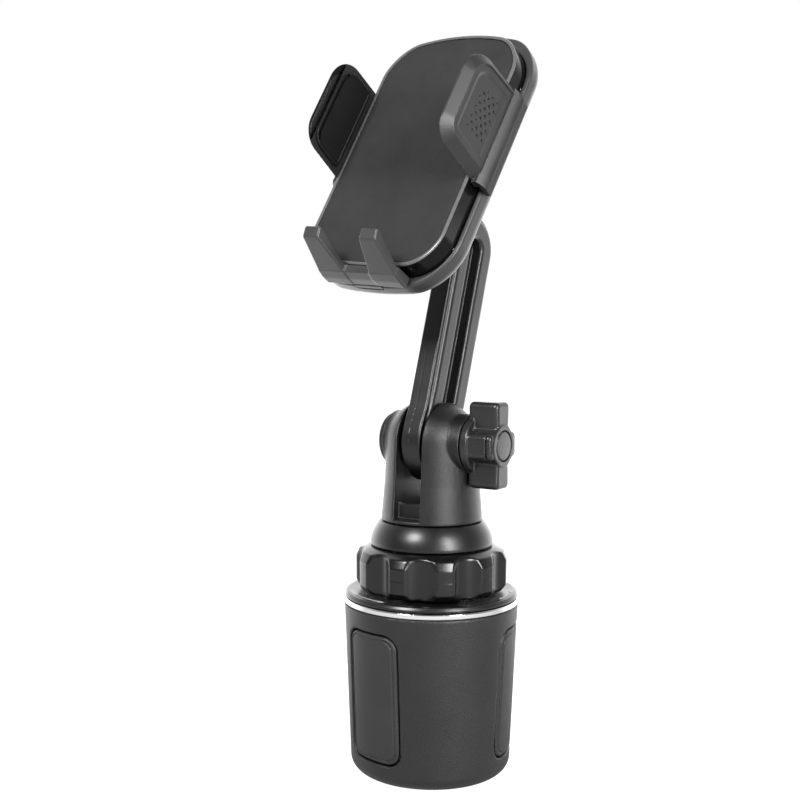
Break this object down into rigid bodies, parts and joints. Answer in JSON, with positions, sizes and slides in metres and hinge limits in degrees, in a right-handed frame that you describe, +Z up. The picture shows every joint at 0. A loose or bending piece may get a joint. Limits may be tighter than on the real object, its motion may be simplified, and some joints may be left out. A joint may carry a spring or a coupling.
{
  "type": "cup-holder phone mount",
  "caption": "Phone mount for a car cup holder: expanding cup base, dial, swivelling yoke, tilting arm, ball joint and a clamping cradle.",
  "frame": {"origin": "centre of the base's underside", "axes": "+Z up, +X along the arm's pivot towards the clamp knob, the cradle faces -Y"},
  "size_m": [0.0813, 0.0963, 0.2993],
  "materials": {
    "grained_black": "fine leather grain",
    "satin_black": "satin",
    "gloss_black": "semi-gloss",
    "black_rubber": "matte",
    "soft_grey_pad": "smooth matte",
    "inner_grey": "as moulded",
    "chrome_trim": "mirror bright",
    "steel": "zinc plated",
    "brass": "turned"
  },
  "bodies": {
    "base": {"base_cup": "grained_black", "foot_pad": "black_rubber", "core_post": "inner_grey", "post_screw_1": "steel", "post_screw_2": "steel", "post_screw_3": "steel", "wing_guide": "inner_grey", "base_lid": "gloss_black", "chrome_ring": "chrome_trim"},
    "dial": {"dial_ring": "gloss_black", "drive_screw": "inner_grey"},
    "wedge": {"wedge_nut": "inner_grey"},
    "wing_1": {"wing_carrier_1": "inner_grey", "wing_pad_1": "black_rubber"},
    "wing_2": {"wing_carrier_2": "inner_grey", "wing_pad_2": "black_rubber"},
    "wing_3": {"wing_carrier_3": "inner_grey", "wing_pad_3": "black_rubber"},
    "neck": {"neck_skirt": "gloss_black", "yoke": "satin_black", "swivel_washer": "steel", "swivel_screw": "steel", "yoke_screw_1": "steel", "yoke_screw_2": "steel", "friction_washer_1": "steel", "friction_washer_2": "steel", "pivot_bolt": "steel", "bolt_cap": "gloss_black"},
    "knob": {"clamp_knob": "gloss_black", "knob_nut": "brass", "knob_cap": "satin_black"},
    "arm": {"arm": "satin_black", "ball_stud": "steel"},
    "ball_liner": {"ball_liner": "inner_grey"},
    "seat_ring": {"seat_ring": "inner_grey"},
    "cradle": {"back_shell": "satin_black", "front_frame": "gloss_black", "front_pad": "soft_grey_pad", "shell_screw_1": "steel", "shell_screw_2": "steel", "shell_screw_3": "steel", "shell_screw_4": "steel"},
    "collar": {"collar_nut": "satin_black"},
    "jaw_left": {"jaw_left": "satin_black", "jaw_pad_left": "black_rubber"},
    "jaw_right": {"jaw_right": "satin_black", "jaw_pad_right": "black_rubber"},
    "pinion": {"jaw_pinion": "inner_grey"},
    "foot": {"foot": "satin_black"},
    "release_button": {"release_button": "gloss_black", "release_spring": "steel"},
    "latch_pawl": {"latch_pawl": "inner_grey"}
  },
  "joints": [
    {"name": "dial_turn", "type": "hinge", "parent": "base", "child": "dial", "pos_m": [0, 0, 0.083], "axis": [0, 0, 1], "range_deg": [0, 300]},
    {"name": "wedge_lift", "type": "slide", "parent": "base", "child": "wedge", "axis": [0, 0, 1], "range_m": [0, 0.0061]},
    {"name": "wing_1_spread", "type": "slide", "parent": "base", "child": "wing_1", "axis": [-0.2164, -0.9763, 0], "range_m": [0, 0.0041]},
    {"name": "wing_2_spread", "type": "slide", "parent": "base", "child": "wing_2", "axis": [0.9537, 0.3007, 0], "range_m": [0, 0.0041]},
    {"name": "wing_3_spread", "type": "slide", "parent": "base", "child": "wing_3", "axis": [-0.7373, 0.6756, 0], "range_m": [0, 0.0041]},
    {"name": "neck_swivel", "type": "hinge", "parent": "base", "child": "neck", "pos_m": [0, 0, 0.1], "axis": [0, 0, 1], "continuous": true},
    {"name": "knob_turn", "type": "hinge", "parent": "neck", "child": "knob", "pos_m": [0.026, 0, 0.1346], "axis": [1, 0, 0], "range_deg": [-360, 0]},
    {"name": "arm_tilt", "type": "hinge", "parent": "neck", "child": "arm", "pos_m": [0, 0, 0.1346], "axis": [1, 0, 0], "range_deg": [-32, 68]},
    {"name": "ball_pitch", "type": "hinge", "parent": "arm", "child": "ball_liner", "pos_m": [0, 0.00017, 0.2227], "axis": [0.9929, -0.1009, -0.0634], "range_deg": [-8, 26]},
    {"name": "ball_yaw", "type": "hinge", "parent": "ball_liner", "child": "seat_ring", "pos_m": [0, 0.00017, 0.2227], "axis": [0.1053, 0.4929, 0.8637], "range_deg": [-10, 10]},
    {"name": "cradle_spin", "type": "hinge", "parent": "seat_ring", "child": "cradle", "pos_m": [0, 0.00017, 0.2227], "axis": [-0.0559, -0.8642, 0.5], "continuous": true},
    {"name": "collar_turn", "type": "hinge", "parent": "cradle", "child": "collar", "pos_m": [0, 0.00017, 0.2227], "axis": [-0.0559, -0.8642, 0.5], "range_deg": [-180, 0]},
    {"name": "jaw_left_open", "type": "slide", "parent": "cradle", "child": "jaw_left", "axis": [-0.9929, 0.1009, 0.0634], "range_m": [0, 0.016]},
    {"name": "jaw_right_open", "type": "slide", "parent": "cradle", "child": "jaw_right", "axis": [0.9929, -0.1009, -0.0634], "range_m": [0, 0.016]},
    {"name": "pinion_turn", "type": "hinge", "parent": "cradle", "child": "pinion", "pos_m": [0.00114, -0.00796, 0.25348], "axis": [-0.0559, -0.8642, 0.5], "range_deg": [0, 155]},
    {"name": "foot_extend", "type": "slide", "parent": "cradle", "child": "foot", "axis": [-0.1053, -0.4929, -0.8637], "range_m": [0, 0.012]},
    {"name": "release_press", "type": "slide", "parent": "cradle", "child": "release_button", "axis": [-0.0559, -0.8642, 0.5], "range_m": [0, 0.002], "stiffness_N_per_m": 600, "springref_m": -0.001},
    {"name": "pawl_lift", "type": "slide", "parent": "cradle", "child": "latch_pawl", "axis": [0.1053, 0.4929, 0.8637], "range_m": [0, 0.0021]}
  ],
  "couplings": [
    {"joint": "wedge_lift", "follows": "dial_turn", "m_per_rad": 0.00114},
    {"joint": "wing_1_spread", "follows": "dial_turn", "m_per_rad": 0.00076},
    {"joint": "wing_2_spread", "follows": "dial_turn", "m_per_rad": 0.00076},
    {"joint": "wing_3_spread", "follows": "dial_turn", "m_per_rad": 0.00076},
    {"joint": "jaw_right_open", "follows": "jaw_left_open", "ratio": 1},
    {"joint": "pinion_turn", "follows": "jaw_left_open", "rad_per_m": 166.67},
    {"joint": "pawl_lift", "follows": "release_press", "ratio": 1}
  ]
}
